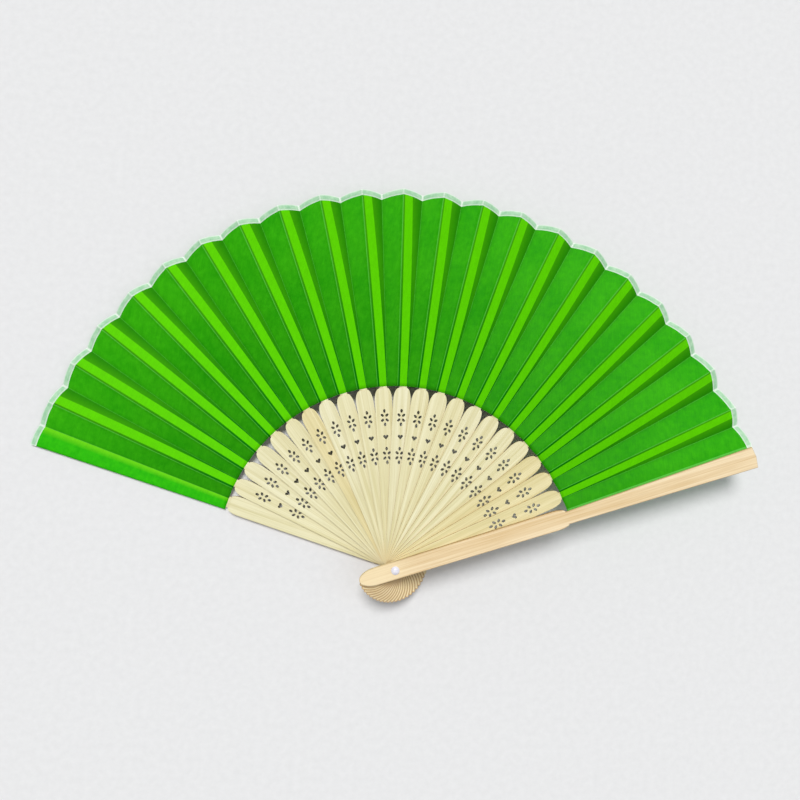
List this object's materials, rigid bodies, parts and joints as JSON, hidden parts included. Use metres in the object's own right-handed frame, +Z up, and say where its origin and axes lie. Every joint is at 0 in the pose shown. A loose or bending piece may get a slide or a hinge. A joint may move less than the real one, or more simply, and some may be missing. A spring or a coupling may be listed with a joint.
{
  "type": "folding hand fan",
  "caption": "Folding hand fan, open: flat pierced wooden sticks between two guards on one rivet, with a pleated cloth leaf that folds as the sticks close.",
  "frame": {"origin": "on the rivet's axis, on the outer face of the back guard, which is the face the fan lies on", "axes": "+Z up through the stack of sticks towards the front guard, +Y along the middle of the open fan, +X towards the front guard's side"},
  "size_m": [0.3657, 0.2094, 0.0261],
  "materials": {
    "guard_wood": "sanded and lightly oiled bamboo",
    "rib_wood": "sanded bleached bamboo",
    "leaf_cloth": "dyed silky cloth with a pale rim tape",
    "rivet_white": "pearly gloss"
  },
  "bodies": {
    "back_guard": {"back_guard": "guard_wood", "rivet_pin": "rivet_white", "rivet_cap": "rivet_white", "leaf_pleat_01": "leaf_cloth"},
    "rib_01": {"rib_01": "rib_wood", "leaf_pleat_02": "leaf_cloth"},
    "rib_02": {"rib_02": "rib_wood", "leaf_pleat_03": "leaf_cloth"},
    "rib_03": {"rib_03": "rib_wood", "leaf_pleat_04": "leaf_cloth"},
    "rib_04": {"rib_04": "rib_wood", "leaf_pleat_05": "leaf_cloth"},
    "rib_05": {"rib_05": "rib_wood", "leaf_pleat_06": "leaf_cloth"},
    "rib_06": {"rib_06": "rib_wood", "leaf_pleat_07": "leaf_cloth"},
    "rib_07": {"rib_07": "rib_wood", "leaf_pleat_08": "leaf_cloth"},
    "rib_08": {"rib_08": "rib_wood", "leaf_pleat_09": "leaf_cloth"},
    "rib_09": {"rib_09": "rib_wood", "leaf_pleat_10": "leaf_cloth"},
    "rib_10": {"rib_10": "rib_wood", "leaf_pleat_11": "leaf_cloth"},
    "rib_11": {"rib_11": "rib_wood", "leaf_pleat_12": "leaf_cloth"},
    "rib_12": {"rib_12": "rib_wood", "leaf_pleat_13": "leaf_cloth"},
    "rib_13": {"rib_13": "rib_wood", "leaf_pleat_14": "leaf_cloth"},
    "rib_14": {"rib_14": "rib_wood", "leaf_pleat_15": "leaf_cloth"},
    "rib_15": {"rib_15": "rib_wood", "leaf_pleat_16": "leaf_cloth"},
    "rib_16": {"rib_16": "rib_wood", "leaf_pleat_17": "leaf_cloth"},
    "rib_17": {"rib_17": "rib_wood", "leaf_pleat_18": "leaf_cloth"},
    "rib_18": {"rib_18": "rib_wood", "leaf_pleat_19": "leaf_cloth"},
    "rib_19": {"rib_19": "rib_wood", "leaf_pleat_20": "leaf_cloth"},
    "rib_20": {"rib_20": "rib_wood", "leaf_pleat_21": "leaf_cloth"},
    "rib_21": {"rib_21": "rib_wood", "leaf_pleat_22": "leaf_cloth"},
    "front_guard": {"front_guard": "guard_wood"}
  },
  "joints": [
    {"name": "spread_01", "type": "hinge", "parent": "back_guard", "child": "rib_01", "pos_m": [0, 0, 0], "axis": [0, 0, 1], "range_deg": [0, 6.61]},
    {"name": "spread_02", "type": "hinge", "parent": "rib_01", "child": "rib_02", "pos_m": [0, 0, 0], "axis": [0, 0, 1], "range_deg": [0, 6.71]},
    {"name": "spread_03", "type": "hinge", "parent": "rib_02", "child": "rib_03", "pos_m": [0, 0, 0], "axis": [0, 0, 1], "range_deg": [0, 6.81]},
    {"name": "spread_04", "type": "hinge", "parent": "rib_03", "child": "rib_04", "pos_m": [0, 0, 0], "axis": [0, 0, 1], "range_deg": [0, 6.82]},
    {"name": "spread_05", "type": "hinge", "parent": "rib_04", "child": "rib_05", "pos_m": [0, 0, 0], "axis": [0, 0, 1], "range_deg": [0, 6.71]},
    {"name": "spread_06", "type": "hinge", "parent": "rib_05", "child": "rib_06", "pos_m": [0, 0, 0], "axis": [0, 0, 1], "range_deg": [0, 6.56]},
    {"name": "spread_07", "type": "hinge", "parent": "rib_06", "child": "rib_07", "pos_m": [0, 0, 0], "axis": [0, 0, 1], "range_deg": [0, 6.48]},
    {"name": "spread_08", "type": "hinge", "parent": "rib_07", "child": "rib_08", "pos_m": [0, 0, 0], "axis": [0, 0, 1], "range_deg": [0, 6.51]},
    {"name": "spread_09", "type": "hinge", "parent": "rib_08", "child": "rib_09", "pos_m": [0, 0, 0], "axis": [0, 0, 1], "range_deg": [0, 6.57]},
    {"name": "spread_10", "type": "hinge", "parent": "rib_09", "child": "rib_10", "pos_m": [0, 0, 0], "axis": [0, 0, 1], "range_deg": [0, 6.56]},
    {"name": "spread_11", "type": "hinge", "parent": "rib_10", "child": "rib_11", "pos_m": [0, 0, 0], "axis": [0, 0, 1], "range_deg": [0, 6.44]},
    {"name": "spread_12", "type": "hinge", "parent": "rib_11", "child": "rib_12", "pos_m": [0, 0, 0], "axis": [0, 0, 1], "range_deg": [0, 6.27]},
    {"name": "spread_13", "type": "hinge", "parent": "rib_12", "child": "rib_13", "pos_m": [0, 0, 0], "axis": [0, 0, 1], "range_deg": [0, 6.18]},
    {"name": "spread_14", "type": "hinge", "parent": "rib_13", "child": "rib_14", "pos_m": [0, 0, 0], "axis": [0, 0, 1], "range_deg": [0, 6.22]},
    {"name": "spread_15", "type": "hinge", "parent": "rib_14", "child": "rib_15", "pos_m": [0, 0, 0], "axis": [0, 0, 1], "range_deg": [0, 6.36]},
    {"name": "spread_16", "type": "hinge", "parent": "rib_15", "child": "rib_16", "pos_m": [0, 0, 0], "axis": [0, 0, 1], "range_deg": [0, 6.47]},
    {"name": "spread_17", "type": "hinge", "parent": "rib_16", "child": "rib_17", "pos_m": [0, 0, 0], "axis": [0, 0, 1], "range_deg": [0, 6.5]},
    {"name": "spread_18", "type": "hinge", "parent": "rib_17", "child": "rib_18", "pos_m": [0, 0, 0], "axis": [0, 0, 1], "range_deg": [0, 6.45]},
    {"name": "spread_19", "type": "hinge", "parent": "rib_18", "child": "rib_19", "pos_m": [0, 0, 0], "axis": [0, 0, 1], "range_deg": [0, 6.43]},
    {"name": "spread_20", "type": "hinge", "parent": "rib_19", "child": "rib_20", "pos_m": [0, 0, 0], "axis": [0, 0, 1], "range_deg": [0, 6.51]},
    {"name": "spread_21", "type": "hinge", "parent": "rib_20", "child": "rib_21", "pos_m": [0, 0, 0], "axis": [0, 0, 1], "range_deg": [0, 6.67]},
    {"name": "spread_22", "type": "hinge", "parent": "rib_21", "child": "front_guard", "pos_m": [0, 0, 0], "axis": [0, 0, 1], "range_deg": [0, 6.79]}
  ],
  "couplings": [
    {"joint": "spread_02", "follows": "spread_01", "ratio": 1.0148},
    {"joint": "spread_03", "follows": "spread_01", "ratio": 1.0303},
    {"joint": "spread_04", "follows": "spread_01", "ratio": 1.031},
    {"joint": "spread_05", "follows": "spread_01", "ratio": 1.0142},
    {"joint": "spread_06", "follows": "spread_01", "ratio": 0.99215},
    {"joint": "spread_07", "follows": "spread_01", "ratio": 0.98067},
    {"joint": "spread_08", "follows": "spread_01", "ratio": 0.98458},
    {"joint": "spread_09", "follows": "spread_01", "ratio": 0.99348},
    {"joint": "spread_10", "follows": "spread_01", "ratio": 0.99171},
    {"joint": "spread_11", "follows": "spread_01", "ratio": 0.97331},
    {"joint": "spread_12", "follows": "spread_01", "ratio": 0.9483},
    {"joint": "spread_13", "follows": "spread_01", "ratio": 0.93419},
    {"joint": "spread_14", "follows": "spread_01", "ratio": 0.94062},
    {"joint": "spread_15", "follows": "spread_01", "ratio": 0.96101},
    {"joint": "spread_16", "follows": "spread_01", "ratio": 0.97874},
    {"joint": "spread_17", "follows": "spread_01", "ratio": 0.9823},
    {"joint": "spread_18", "follows": "spread_01", "ratio": 0.97529},
    {"joint": "spread_19", "follows": "spread_01", "ratio": 0.97232},
    {"joint": "spread_20", "follows": "spread_01", "ratio": 0.98451},
    {"joint": "spread_21", "follows": "spread_01", "ratio": 1.0082},
    {"joint": "spread_22", "follows": "spread_01", "ratio": 1.0273}
  ]
}
